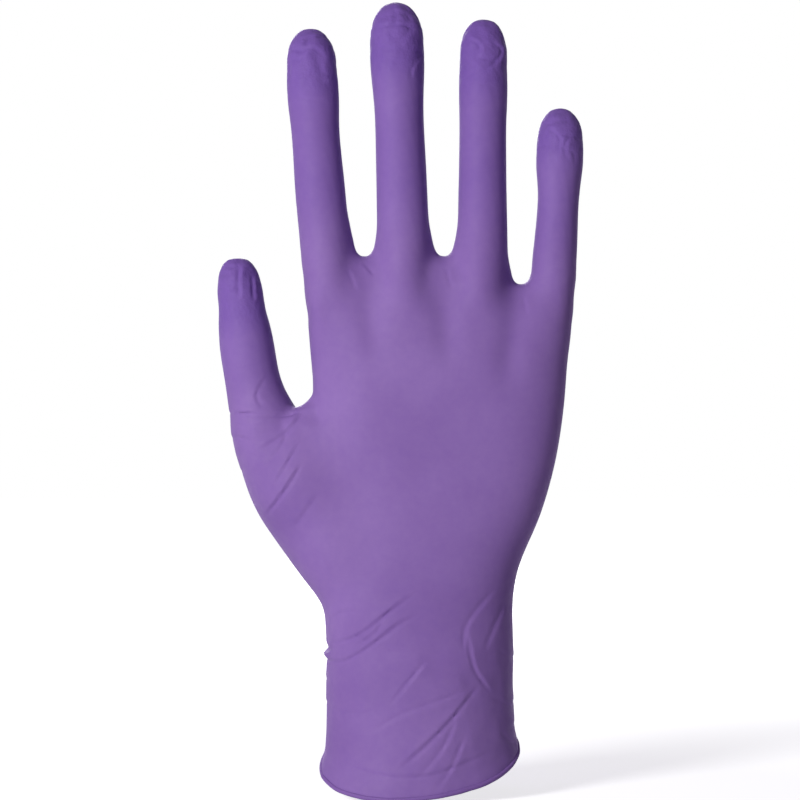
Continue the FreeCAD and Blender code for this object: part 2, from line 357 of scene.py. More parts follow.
def add_finger_webs(field, origin):
    """The film where the fingers flare into their webs, and the rounded gaps between them."""
    for finger, side, proud in FLARES:
        band = finger + "_root_flex_band"
        edge = high(band)[0] if side > 0 else low(band)[0]
        beside_it = FINGERS[FINGERS.index(finger) + side] + "_root_flex_band"
        root = min(low(band)[2], low(beside_it)[2])
        foot = (edge + side * (proud * MM - FLARE_RADIUS), FLARE_Y, root - FLARE_FOOT)
        top = (edge - side * FLARE_IN, FLARE_Y, root + FLARE_TOP)
        bridge(field, origin, foot, top, FLARE_RADIUS, FLARE_END)
    for finger, beside_it in zip(FINGERS, FINGERS[1:]):
        bands = finger + "_root_flex_band", beside_it + "_root_flex_band"
        across = (high(bands[0])[0] + low(bands[1])[0]) / 2
        middle = min(low(band)[2] for band in bands) - WEB_DROP + WEB_RADIUS
        bridge(field, origin, (across, -WEB_DEPTH, middle), (across, WEB_DEPTH, middle),
               WEB_RADIUS, WEB_RADIUS, hollow=True)


def skin_offset(side, height, index_side):
    """How far the smoothed field's skin is moved out, so that it keeps the CAD outline."""
    hand = (ramp_from(wrist_height, WRIST_OFFSET, height)
            * ramp_from(knuckle_height, KNUCKLE_OFFSET, height))
    fingers = ramp_from(knuckle_height, FINGER_START, height)
    little_side = ramp_from(0, LITTLE_ACROSS, side)
    finger_roots = (little_side - index_side) * between(height, *ROOT_HEIGHTS)
    thumb_ball = ramp_from(0, BALL_ACROSS, side) * between(height, *BALL_HEIGHTS)
    return (FINGER_OFFSET * fingers + HAND_OFFSET * (1 - 0.8 * index_side) * hand
            + ROOT_OFFSET * finger_roots + BALL_OFFSET * thumb_ball)


def shape_field():
    """The field, smoothed more where the real film bridges hollows."""
    field, origin, (x, y, z) = solid_field()
    add_thumb_web(field, origin)
    add_finger_webs(field, origin)
    fine, medium, broad = (smoothed(field, radius) for radius in (FINE, MEDIUM, BROAD))
    height = z[None, None, :]
    side = x[:, None, None]
    above_wrist = ramp_from(wrist_height, WRIST_MEDIUM, height)
    palm = (ramp_from(wrist_height, WRIST_BROAD, height)
            * ramp_from(knuckle_height, KNUCKLE_MEDIUM, height))
    index_side = ramp_from(0, INDEX_ACROSS, side) * ramp_from(0, INDEX_UP, height)
    thumb_root = low("thumb_root_flex_band")[2]
    near_notch = (ramp_from(thumb_side, NOTCH_ACROSS, side)
                  * ramp_from(thumb_root, NOTCH_UP, height))
    on_thumb = (ramp_from(thumb_side, THUMB_ACROSS, side)
                * ramp_from(thumb_root, THUMB_UP, height))
    smoothable = 1 - np.maximum(near_notch, on_thumb)
    smooth = fine + (medium - fine) * above_wrist * smoothable
    smooth += (broad - smooth) * palm * smoothable
    return smooth - skin_offset(side, height, index_side), origin


def surface_of(field, origin):
    """Surface nets: one point in each cell that the skin crosses, joined into quads."""
    inside = field < 0
    shape = np.array(field.shape) - 1
    total = np.zeros(tuple(shape) + (3,))
    hits = np.zeros(tuple(shape))
    corner = [np.array((i, j, k)) for i in (0, 1) for j in (0, 1) for k in (0, 1)]

    def at(offset, source):
        part = tuple(slice(offset[a], offset[a] + shape[a]) for a in range(3))
        return source[part]

    for start in corner:
        for axis in range(3):
            if start[axis]:
                continue
            end = start.copy()
            end[axis] = 1
            first, last = at(start, field), at(end, field)
            crossed = at(start, inside) != at(end, inside)
            share = np.where(crossed, first / np.where(crossed, first - last, 1.0), 0.0)
            for a in range(3):
                place = share if a == axis else start[a]
                total[..., a] += np.where(crossed, place, 0.0)
            hits += crossed
    active = hits > 0
    number = np.full(tuple(shape), -1)
    number[active] = np.arange(active.sum())
    cell = np.argwhere(active)
    points = origin + (cell + total[active] / hits[active][:, None]) * GRID
    quads = []
    for axis in range(3):
        a, b = (axis + 1) % 3, (axis + 2) % 3
        part = [slice(1, -1)] * 3
        part[axis] = slice(0, -1)
        nxt = [slice(1, -1)] * 3
        nxt[axis] = slice(1, None)
        here, there = inside[tuple(part)], inside[tuple(nxt)]
        for rising in (True, False):
            found = np.argwhere(here & ~there if rising else ~here & there)
            found += [0 if k == axis else 1 for k in range(3)]
            ring = []
            for da, db in ((0, 0), (1, 0), (1, 1), (0, 1)):
                spot = found.copy()
                spot[:, a] -= da
                spot[:, b] -= db
                ring.append(number[spot[:, 0], spot[:, 1], spot[:, 2]])
            quad = np.stack(ring, axis=1)
            quads.append(quad if rising else quad[:, ::-1])
    return points, np.concatenate(quads)


def new_mesh(name, points, faces):
    mesh = bpy.data.meshes.new(name)
    mesh.from_pydata(points.tolist(), [], faces.tolist())
    mesh.update()
    return mesh


def finer(mesh):
    """The mesh after one round of subdivision."""
    holder = bpy.data.objects.new("skin_cage", mesh)
    bpy.context.scene.collection.objects.link(holder)
    holder.modifiers.new("finer", "SUBSURF").levels = 1
    bpy.context.view_layer.update()
    result = bpy.data.meshes.new_from_object(
        holder.evaluated_get(bpy.context.evaluated_depsgraph_get()))
    bpy.data.objects.remove(holder)
    return result


# ------------------------------------------------------------------ folds and puckers
# Each fold: side of the glove it lies on, depth and half width in millimetres, and the
# points it runs through in millimetres: X and Z on the back and palm, Y and Z on the
# thumb's and the little finger's side. A fold is a crease with the film lapped up on its
# left as the points are read; a negative depth makes it a ridge.
FOLDS = [
    # tight pulls that wind round the wrist from the thumb side
    ("back", 0.60, 0.50, [(-30, 34), (-21, 36.5), (-15, 40), (-9, 45), (0, 51.5)]),
    ("back", 0.60, 0.50, [(-30, 30), (-24, 29.5), (-18, 32.5), (-10.5, 38), (-6, 41.5), (1, 45)]),
    ("back", 0.40, 0.50, [(-20, 34), (-14, 38), (-11, 42)]),
    ("back", 0.22, 0.60, [(-27, 42), (-24, 44), (-18, 45)]),
    ("thumb", 0.32, 0.60, [(-12, 34), (-4, 33), (4, 36), (12, 41)]),
    ("thumb", 0.32, 0.60, [(-12, 30), (-3, 29.5), (6, 31), (13, 35)]),
    ("thumb", -0.95, 0.80, [(-7, 31.8), (-2, 31.3), (5, 32.5)]),
    ("thumb", 0.18, 0.70, [(-14, 14), (-2, 17), (12, 14)]),
    ("thumb", 0.16, 0.70, [(-10, 22), (2, 24), (14, 22)]),
    # slack of the cuff
    ("back", 0.40, 0.55, [(2, 31), (-3, 25), (-9, 17.5)]),
    ("back", 0.34, 0.55, [(15, 22), (6, 19), (-6, 14.5), (-16, 8.5)]),
    ("back", 0.16, 0.70, [(-24, 14.5), (-13, 15.5)]),
    ("back", 0.50, 0.60, [(-7, -2), (1.5, 5.5), (9, 13), (19, 25)]),
    ("back", 0.30, 0.60, [(11, 14), (6, 4), (-2, -5)]),
    ("back", 0.28, 0.60, [(13.5, 9), (9, -1), (4, -8)]),
    ("back", 0.28, 0.70, [(23, 52.5), (14, 41.5), (12.5, 33)]),
    ("back", 0.22, 0.80, [(25.5, 47.5), (18.5, 32.5)]),
    ("back", 0.32, 0.55, [(13.5, 40), (15.5, 29.5), (18.5, 24), (21.5, 20.5)]),
    ("back", 0.15, 0.50, [(-10.5, 34), (-1.5, 32.5)]),
    ("back", 0.25, 0.60, [(24, 9), (29, 3.5)]),
    ("back", 0.30, 0.60, [(-27, 1.5), (-19, -1.5), (-9, -3.5), (3, -3), (15, 1.0), (24, 4.5)]),
    ("little", 0.18, 0.60, [(-16, 20), (-4, 16), (12, 22)]),
    ("little", 0.16, 0.60, [(-14, 34), (-2, 30), (14, 36)]),
    ("little", 0.15, 0.70, [(-12, 9), (2, 11), (14, 17)]),
    # root of the thumb, where the film bridges from thumb to palm
    ("back", 0.60, 0.45, [(-58, 104), (-49, 103.2), (-40, 103), (-36.5, 104.5)]),
    ("back", 0.22, 0.50, [(-56, 96.5), (-46.5, 95)]),
    ("back", 0.16, 0.50, [(-52.5, 91), (-42, 90.5)]),
    ("back", 0.50, 0.45, [(-49, 92), (-40, 98), (-34, 105)]),
    ("back", 0.42, 0.45, [(-43.5, 82), (-36, 95)]),
    ("back", 0.62, 0.50, [(-46.5, 72.5), (-40, 81), (-35, 89)]),
    ("back", 0.22, 0.70, [(-38, 69), (-30, 80)]),
    ("back", 0.30, 0.50, [(-47, 105), (-49, 109), (-46, 115)]),
    ("back", 0.24, 0.50, [(-56, 100.5), (-50, 99.6), (-45, 100.8)]),
    ("back", 0.20, 0.50, [(-51, 98), (-46, 97.4)]),
    ("back", 0.26, 0.50, [(-46.5, 88), (-42, 93), (-39.5, 99)]),
    ("thumb", 0.16, 0.60, [(-8, 104), (0, 103), (8, 105)]),
    ("thumb", 0.14, 0.60, [(-8, 97), (2, 96), (10, 98)]),
    ("thumb", 0.12, 0.70, [(-6, 88), (6, 86), (12, 88)]),
    # little tucks below the webs
    ("back", 0.25, 0.45, [(-13.5, 145), (-17, 149.5)]),
    ("back", 0.22, 0.45, [(-21.5, 147), (-19, 140)]),
    ("back", 0.18, 0.55, [(8, 148), (9.5, 141)]),
    ("back", 0.18, 0.55, [(31, 139.5), (32, 133)]),
    # slack fingertips
    ("back", 0.40, 0.45, [(-14.5, 219.5), (-7, 220.5), (1, 219.5)]),
    ("back", 0.26, 0.50, [(-8, 227), (-7, 222), (-8, 219)]),
    ("back", 0.22, 0.55, [(1, 212), (-2, 208), (-3, 203.5)]),
    ("back", 0.42, 0.45, [(21.5, 215.5), (24.5, 213), (22.5, 209), (14.5, 203)]),
    ("back", 0.30, 0.50, [(14, 217), (18, 214), (17, 211)]),
    ("back", 0.30, 0.50, [(-37, 212.5), (-32.5, 213.5), (-28.5, 211)]),
    ("back", 0.20, 0.50, [(-38, 199), (-32, 197.5), (-26, 198)]),
    ("back", 0.30, 0.50, [(38, 190), (42, 186), (41, 181)]),
    ("back", 0.25, 0.50, [(46, 188), (43.5, 184), (44, 179)]),
    ("back", 0.70, 0.60, [(-54.5, 149), (-54.5, 138)]),
    ("back", 0.40, 0.50, [(-50.5, 146), (-50, 137)]),
    ("back", 0.25, 0.60, [(-60, 143), (-57, 139)]),
    # the palm side: the creases that a hand's own lines and the thumb leave
    ("palm", 0.45, 0.80, [(-31, 117), (-16, 111), (2, 103), (20, 97)]),
    ("palm", 0.45, 0.80, [(44, 112), (26, 116), (8, 120), (-8, 128)]),
    ("palm", 0.55, 0.80, [(-33, 105), (-22, 96), (-13, 82), (-9, 66)]),
    ("palm", 0.50, 0.55, [(-28, 40), (-12, 43), (4, 41), (20, 45)]),
    ("palm", 0.45, 0.55, [(-27, 35), (-8, 36.5), (8, 34), (24, 38)]),
    ("palm", 0.40, 0.60, [(20, 32), (8, 24), (-6, 20), (-18, 22)]),
    ("palm", 0.35, 0.60, [(-22, 28), (-10, 22), (4, 19)]),
    ("palm", 0.35, 0.60, [(26, 26), (20, 19), (18, 12)]),
    ("palm", 0.30, 0.60, [(-40, 101), (-48, 99), (-57, 101)]),
    ("palm", 0.30, 0.60, [(-38, 92), (-46, 84)]),
    ("palm", 0.28, 0.60, [(-36, 174), (-30, 173), (-24, 174)]),
    ("palm", 0.28, 0.60, [(-12, 178.5), (-6, 177.5), (1, 178.5)]),
    ("palm", 0.28, 0.60, [(13, 176), (19, 175), (25, 176)]),
    ("palm", 0.26, 0.60, [(36, 163), (41, 162), (47, 163)]),
]


FOLD_START = (-0.02, 0.25)      # parts of its length over which a fold deepens
FOLD_END = (1.02, 0.7)          # and, from its far end, runs out
FOLD_FACING = 0.3               # how squarely the film must face a side to take its full fold
CREASE_DEPTH = 0.8              # of the fold's depth
LAP_HEIGHT = 1.1
LAP_LENGTH = 3.2                # half widths over which the lap sinks back

# Soft valleys between the finger roots, given as the folds are, but without a lap.
VALLEYS = [
    ("back", 1.3, 4.2, [(-17, 153), (-15.5, 138), (-13, 116)]),
    ("back", 1.3, 4.2, [(7, 153), (7.5, 138), (8.5, 114)]),
    ("back", 1.3, 4.2, [(31, 144), (28, 130), (25, 108)]),
    ("palm", 0.8, 3.6, [(-17, 153), (-16, 136), (-15, 124)]),
    ("palm", 0.8, 3.6, [(7, 153), (7.5, 138), (8, 124)]),
    ("palm", 0.8, 3.6, [(31, 144), (29, 132), (28, 118)]),
]


def smooth_line(points, per_span=8):
    """Points along a Catmull-Rom curve through the given ones."""
    ends = [2 * points[0] - points[1]] + list(points) + [2 * points[-1] - points[-2]]
    line = []
    for a, b, c, d in zip(ends, ends[1:], ends[2:], ends[3:]):
        for k in range(per_span):
            t = k / per_span
            line.append(0.5 * (2 * b + (c - a) * t + (2 * a - 5 * b + 4 * c - d) * t ** 2
                               + (3 * b - a - 3 * c + d) * t ** 3))
    return np.array(line + [points[-1]])


def beside(line, flat):
    """Each point's signed distance from a line in the plane, and its place along it."""
    best = np.full(len(flat), np.inf)
    signed = np.zeros(len(flat))
    along = np.zeros(len(flat))
    count = len(line) - 1
    for k in range(count):
        start, step = line[k], line[k + 1] - line[k]
        rel = flat - start
        t = np.clip(rel @ step / (step @ step), 0, 1)
        gap = np.hypot(*(rel - t[:, None] * step).T)
        nearer = gap < best
        side = np.sign(step[0] * rel[:, 1] - step[1] * rel[:, 0])
        best = np.where(nearer, gap, best)
        signed = np.where(nearer, gap * side, signed)
        along = np.where(nearer, (k + t) / count, along)
    return signed, along


# Noise cells per millimetre across the hand, through it and up along the fingers.
PUCKER_CELLS = (0.30, 0.30, 0.15)
CREASE_CELLS = (0.16, 0.16, 0.26)
DRAPE_CELLS = (0.075, 0.075, 0.06)
WRINKLE_CELLS = (0.2, 0.2, 0.13)
UNEVEN_CELLS = (0.06, 0.06, 0.06)
BEND_CELL = 6 * MM              # of the noise that bends the other ones,
BEND_REACH = 1.5                # and by how many millimetres
PUCKER_HEIGHT = 0.34 * MM
TIP_CREASE = 0.42 * MM
DRAPE_HEIGHT = 0.42 * MM
UNEVEN_HEIGHT = 0.10 * MM
NOISE_SIZE = 64                 # cells before a noise repeats


def lattice_noise(places, seed):
    """Smooth noise of about -1 to 1 whose features are one cell wide."""
    size = NOISE_SIZE
    table = np.random.default_rng(seed).uniform(-1, 1, (size, size, size))
    base = np.floor(places).astype(int)
    part = places - base
    part = part * part * (3 - 2 * part)
    total = np.zeros(len(places))
    for i in (0, 1):
        for j in (0, 1):
            for k in (0, 1):
                weight = (np.where(i, part[:, 0], 1 - part[:, 0])
                          * np.where(j, part[:, 1], 1 - part[:, 1])
                          * np.where(k, part[:, 2], 1 - part[:, 2]))
                cell = (base + (i, j, k)) % size
                total += weight * table[cell[:, 0], cell[:, 1], cell[:, 2]]
    return total


def fold_relief(points, normals):
    """How far every point stands out or in because of the folds and the valleys."""
    relief = np.zeros(len(points))
    sides = {"back": ((0, 2), -normals[:, 1]), "palm": ((0, 2), normals[:, 1]),
             "thumb": ((1, 2), -normals[:, 0]), "little": ((1, 2), normals[:, 0])}
    # whether the film laps up beside them, and how many half widths they spread to
    for folds, lapped, spread in ((FOLDS, 1, 9), (VALLEYS, 0, 3)):
        for side, depth, width, stations in folds:
            plane, facing = sides[side]
            flat = points[:, plane] / MM
            line = smooth_line([np.array(station, float) for station in stations])
            reach = spread * width
            near = ((flat > line.min(0) - reach) & (flat < line.max(0) + reach)).all(axis=1)
            chosen = np.flatnonzero(near & (facing > 0))
            signed, along = beside(line, flat[chosen])
            fade = (ramp(along, *FOLD_START) * ramp(along, *FOLD_END)
                    * ramp(facing[chosen], 0, FOLD_FACING))
            crease = np.exp(-(signed / width) ** 2)
            sink = np.exp(-signed / (LAP_LENGTH * width))
            lap = np.where(signed > 0, (1 - crease) * sink, 0.0)
            height = LAP_HEIGHT * lapped * lap - CREASE_DEPTH * crease
            relief[chosen] += depth * MM * fade * height
    return relief


def tip_looseness(points):
    """1 at the tips of the fingers and the thumb, fading to 0 towards their last joints."""
    loose = np.zeros(len(points))
    for finger in FINGERS:
        tip = finger + "_fingertip"
        inside = (points[:, 0] > low(tip)[0] - MM) & (points[:, 0] < high(tip)[0] + MM)
        rise = ramp(points[:, 2], low(tip)[2] - 9 * MM, high(tip)[2] - 5 * MM)
        loose += np.where(inside, rise, 0.0)
    start, end = along_thumb("thumb_tip_stall")
    rise = ramp(points @ thumb_up, start, end - 4 * MM)
    return loose + np.where(points @ thumb_across < thumb_edge, rise, 0.0)


def slack_relief(points, normals):
    """Fine puckers at the fingertips, the drape of the cuff, and a slight unevenness."""
    bend = [lattice_noise(points / BEND_CELL + shift, 5) for shift in (0.0, 7.3, 13.1)]
    wave = points / MM + BEND_REACH * np.stack(bend, axis=1)
    puckers = lattice_noise(wave * PUCKER_CELLS, 11)
    creases = (1 - 2.5 * np.abs(lattice_noise(wave * CREASE_CELLS, 12))).clip(0)
    pad = 0.3 + 0.7 * ramp(np.abs(normals[:, 1]), 0.1, 0.65)
    tips = tip_looseness(points) * pad * (PUCKER_HEIGHT * puckers - TIP_CREASE * creases)
    cuff = ramp(points[:, 2], high("wrist_flex_band")[2], low("wrist_flex_band")[2])
    drape = (lattice_noise(wave * DRAPE_CELLS, 13)
             + 0.4 * lattice_noise(wave * WRINKLE_CELLS, 14))
    uneven = lattice_noise(wave * UNEVEN_CELLS, 15)
    return tips + DRAPE_HEIGHT * cuff * drape + UNEVEN_HEIGHT * uneven


def shape_details(mesh):
    """Moves the skin's points out and in along its normals."""
    count = len(mesh.vertices)
    points = np.empty(count * 3)
    normals = np.empty(count * 3)
    mesh.vertices.foreach_get("co", points)
    mesh.vertices.foreach_get("normal", normals)
    points, normals = points.reshape(-1, 3), normals.reshape(-1, 3)
    flare = CUFF_FLARE * ramp(points @ -rim_out, FLARE_START, 0.5 * MM) ** 1.5
    relief = fold_relief(points, normals) + slack_relief(points, normals) + flare
    mesh.vertices.foreach_set("co", (points + normals * relief[:, None]).ravel())
    mesh.update()


# ------------------------------------------------------------------ parting into zones
def zone_planes():
    """The level planes that the CAD film is parted at: height, and where across it applies."""
    planes = []
    right = (thumb_side, np.inf)
    everywhere = (-np.inf, np.inf)
    for node, reach in (("wrist_flex_band", everywhere), ("knuckle_flex_band", right)):
        planes += [(low(node)[2], reach), (high(node)[2], reach)]
    for finger in FINGERS:
        reach = finger_reach(finger)
        for part in ("root_flex_band", "middle_flex_band", "tip_flex_band"):
            node = "%s_%s" % (finger, part)
            planes += [(low(node)[2], reach), (high(node)[2], reach)]
    return planes


def finger_reach(finger):
    """How far across a finger's own cuts apply: half way into the gaps beside it."""
    place = FINGERS.index(finger)
    band = finger + "_root_flex_band"
    left, right = -np.inf, np.inf
    if finger != FINGERS[0]:
        left = (low(band)[0] + high(FINGERS[place - 1] + "_root_flex_band")[0]) / 2
    if finger != FINGERS[-1]:
        right = (high(band)[0] + low(FINGERS[place + 1] + "_root_flex_band")[0]) / 2
    return left, right


def zone_names(centres):
    """The CAD node that each face of the skin belongs to."""
    names = np.full(len(centres), "hand_shell", dtype=object)
    x, z = centres[:, 0], centres[:, 2]
    names[z < high("wrist_flex_band")[2]] = "wrist_flex_band"
    names[z < low("wrist_flex_band")[2]] = "cuff_sleeve"
    right = x > thumb_side
    names[right & (z > low("knuckle_flex_band")[2])] = "knuckle_flex_band"
    names[right & (z > high("knuckle_flex_band")[2])] = "finger_root_shell"
    for finger in FINGERS:
        left, far = finger_reach(finger)
        here = (x > left) & (x < far)
        for part in ("root_flex_band", "base_stall", "middle_flex_band", "middle_stall",
                     "tip_flex_band", "fingertip"):
            node = "%s_%s" % (finger, part)
            names[here & (z > low(node)[2])] = node
    thumb = centres @ thumb_up
    across = centres @ thumb_across
    for part in ("root_flex_band", "base_stall", "tip_flex_band", "tip_stall"):
        node = "thumb_" + part
        names[(across < thumb_edge) & (thumb > along_thumb(node)[0])] = node
    return names


def part_skin(mesh):
    """Cuts the skin at the rim and at every zone's planes, so that no face lies in two."""
    bm = bmesh.new()
    bm.from_mesh(mesh)

    def cut(point, normal, chosen, clear_inner=False):
        faces = []
        for face in bm.faces:
            place = face.verts[0].co
            gap = (place - point).dot(normal)
            if (abs(gap) < 2 * GRID or clear_inner and gap < 0) and chosen(place):
                faces.append(face)
        edges = {edge for face in faces for edge in face.edges}
        verts = {vert for face in faces for vert in face.verts}
        bmesh.ops.bisect_plane(bm, geom=faces + list(edges) + list(verts), dist=1e-6,
                               plane_co=point, plane_no=normal, clear_inner=clear_inner)

    rim = Vector(-rim_out)
    cut(Vector((0, 0, BEAD_HEIGHT / 2)), rim, lambda place: True, clear_inner=True)
    up = Vector((0, 0, 1))
    for height, (left, right) in zone_planes():
        cut(Vector((0, 0, height)), up,
            lambda place, left=left, right=right: left < place.x < right)
    along, across = Vector(thumb_up), Vector(thumb_across)
    for node in ("thumb_root_flex_band", "thumb_tip_flex_band"):
        for height in along_thumb(node):
            cut(along * height, along, lambda place: place.dot(across) < thumb_edge)
    parted = bpy.data.meshes.new("skin_parted")
    bm.to_mesh(parted)
    bm.free()
    return parted


# ------------------------------------------------------------------ materials
# the film's colours where it is taut, where it is less so, and a deep one for cloudy spots and for the fingers'
# painted shade
FILM_COLOURS = ("#9776BA", "#8C6BB0", "#5D38A3")
BEAD_COLOURS = ("#906EB3", "#8664AA", "#5D38A3")
FILM_ROUGHNESS = 0.56
BEAD_ROUGHNESS = 0.54
PAINTED_FINGER_SHADE = 0.40              # how far the fingers' painted shade takes slack film to the deep colour,
CLOUD_SHADE = 0.10              # and the cloudiest spots of any
# in millimetres across each feature
TENSION_SIZE = 34               # where the film is taut
MOTTLE_SIZE = 2.6               # the dip's cloudiness
PUCKER_SIZE = 2.2               # the finest puckers of slack film
GRAIN_SIZE = 0.45               # the former's grain


def srgb(code):
    """A hex colour as linear red, green, blue and alpha."""
    parts = [int(code[k:k + 2], 16) / 255 for k in (1, 3, 5)]
    return [c / 12.92 if c <= 0.04045 else ((c + 0.055) / 1.055) ** 2.4 for c in parts] + [1.0]


def add_node(tree, kind, links=(), **settings):
    """Adds a node; settings name its properties or inputs, links its inputs' sources."""
    node = tree.nodes.new(kind)
    for name, value in settings.items():
        if hasattr(node, name):
            setattr(node, name, value)
        else:
            node.inputs[name.replace("_", " ")].default_value = value
    for target, source in links:
        tree.links.new(source, node.inputs[target])
    return node


def new_material(name):
    material = bpy.data.materials.new(name)
    material.use_nodes = True
    material.node_tree.nodes.clear()
    return material, material.node_tree


def per_metre(size_mm):
    """Noise scale that gives features of a size in millimetres."""
    return 1 / (size_mm * MM)


def nitrile(name, colours, roughness):
    """Dipped nitrile rubber, chlorinated so that it slips on: a matte violet film with a faint satin gloss. Where
    it is stretched over the hand it is paler. Along the fingers it is painted deeper, and at the fingertips deeper
    still, as painted shade of the round fingers and their puckered tips; there the slack film is also finely
    puckered. The dip's fine grain is drawn at 0.45 mm, coarser than the real one, so that it shows."""
    taut, eased, cloud_and_shade_colour = (srgb(colour) for colour in colours)
    material, tree = new_material(name)
    place = add_node(tree, "ShaderNodeAttribute", attribute_name="rest_place").outputs["Vector"]
    looseness_and_shade = add_node(tree, "ShaderNodeAttribute", attribute_name="slack_and_shade").outputs["Fac"]

    def noise(size, detail, rough=0.5):
        return add_node(tree, "ShaderNodeTexNoise", [("Vector", place)], Scale=per_metre(size),
                        Detail=detail, Roughness=rough).outputs["Fac"]

    def spread(value, start, end, least=0.0, most=1.0):
        return add_node(tree, "ShaderNodeMapRange", [("Value", value)], From_Min=start,
                        From_Max=end, To_Min=least, To_Max=most).outputs["Result"]

    mottle = noise(MOTTLE_SIZE, 3.0, 0.6)
    tension = noise(TENSION_SIZE, 2.0)
    stretched = add_node(tree, "ShaderNodeMixRGB", [("Fac", spread(tension, 0.35, 0.65))],
                         Color1=eased, Color2=taut)
    speckled = add_node(tree, "ShaderNodeMixRGB",
                        [("Fac", spread(mottle, 0.3, 0.75, 0.0, CLOUD_SHADE)),
                         ("Color1", stretched.outputs[0])], Color2=cloud_and_shade_colour)
    # painted shade: the fingers drawn deeper towards their tips, for the shade of round fingers and puckered
    # fingertips
    shade_painted = add_node(tree, "ShaderNodeMixRGB",
                        [("Fac", spread(looseness_and_shade, 0.0, 1.0, 0.0, PAINTED_FINGER_SHADE)),
                         ("Color1", speckled.outputs[0])], Color2=cloud_and_shade_colour)
    loose = spread(looseness_and_shade, SHAFT_SLACK_AND_SHADE, 1.0)
    pucker = add_node(tree, "ShaderNodeMath", [(0, noise(PUCKER_SIZE, 4.0, 0.62)), (1, loose)],
                      operation="MULTIPLY")
    wrinkled = add_node(tree, "ShaderNodeBump", [("Height", pucker.outputs[0])],
                        Strength=0.6, Distance=0.6 * MM)
    grained = add_node(tree, "ShaderNodeBump", [("Height", noise(GRAIN_SIZE, 2.0)),
                                                ("Normal", wrinkled.outputs["Normal"])],
                       Strength=0.12, Distance=0.06 * MM)
    shader = add_node(tree, "ShaderNodeBsdfPrincipled",
                      [("Base Color", shade_painted.outputs[0]),
                       ("Roughness", spread(mottle, 0.3, 0.7, roughness - 0.05, roughness + 0.05)),
                       ("Normal", grained.outputs["Normal"])],
                      IOR=1.5, Specular_IOR_Level=0.10)
    add_node(tree, "ShaderNodeOutputMaterial", [("Surface", shader.outputs[0])])
    return material


def seen_rays(tree):
    """1 for rays from the camera and for those that a gloss or a clear body sends on."""
    path = add_node(tree, "ShaderNodeLightPath")
    either = add_node(tree, "ShaderNodeMath", [(0, path.outputs["Is Camera Ray"]),
                                               (1, path.outputs["Is Glossy Ray"])],
                      operation="MAXIMUM")
    return add_node(tree, "ShaderNodeMath", [(0, either.outputs[0]),
                                             (1, path.outputs["Is Transmission Ray"])],
                    operation="MAXIMUM").outputs[0]


def painted_board():
    """Painted studio board: matt and nearly white. It is lifted to white for the eye and
    for reflections, more so further out, so that only the glove's shadow shows on it."""
    material, tree = new_material("painted_board")
    paint = add_node(tree, "ShaderNodeBsdfDiffuse", Color=srgb("#F4F4F4"))
    place = add_node(tree, "ShaderNodeNewGeometry").outputs["Position"]
    far = add_node(tree, "ShaderNodeVectorMath", [(0, place)], operation="LENGTH")
    strength = add_node(tree, "ShaderNodeMapRange", [("Value", far.outputs["Value"])],
                        From_Min=LIFT_NEAR[0], From_Max=LIFT_FAR[0],
                        To_Min=LIFT_NEAR[1], To_Max=LIFT_FAR[1])
    lift = add_node(tree, "ShaderNodeEmission", [("Strength", strength.outputs["Result"])],
                    Color=srgb("#FFFFFF"))
    lifted = add_node(tree, "ShaderNodeAddShader", [(0, paint.outputs[0]), (1, lift.outputs[0])])
    board = add_node(tree, "ShaderNodeMixShader",
                     [(0, seen_rays(tree)), (1, paint.outputs[0]), (2, lifted.outputs[0])])
    add_node(tree, "ShaderNodeOutputMaterial", [("Surface", board.outputs[0])])
    return material


# ------------------------------------------------------------------ pieces
def slack_and_shade_of(points):
    """1 where the film is loose at the fingertips, less along the fingers, 0 on the hand. It sets the fingertips'
    puckers and how far the fingers are painted deeper, as painted shade.
    """
    looseness_and_shade = np.zeros(len(points))
    height = points[:, 2]
    for finger in FINGERS:
        left, right = finger_reach(finger)
        inside = (points[:, 0] > left) & (points[:, 0] < right)
        root = low(finger + "_root_flex_band")[2]
        along = SHAFT_SLACK_AND_SHADE * ramp(height, root - 4 * MM, root + 22 * MM)
        loose = ramp(height, low(finger + "_tip_flex_band")[2],
                     low(finger + "_fingertip")[2] + 5 * MM)
        looseness_and_shade += np.where(inside, along + (1 - SHAFT_SLACK_AND_SHADE) * loose, 0.0)
    thumb = points @ thumb_up
    root = along_thumb("thumb_root_flex_band")[0]
    start, end = along_thumb("thumb_tip_flex_band")
    on_thumb = (points @ thumb_across < thumb_edge) & (thumb > root)
    along = SHAFT_SLACK_AND_SHADE * ramp(thumb, root, root + 22 * MM)
    loose = ramp(thumb, start + 4 * MM, end + 2 * MM)
    return looseness_and_shade + np.where(on_thumb, along + (1 - SHAFT_SLACK_AND_SHADE) * loose, 0.0)


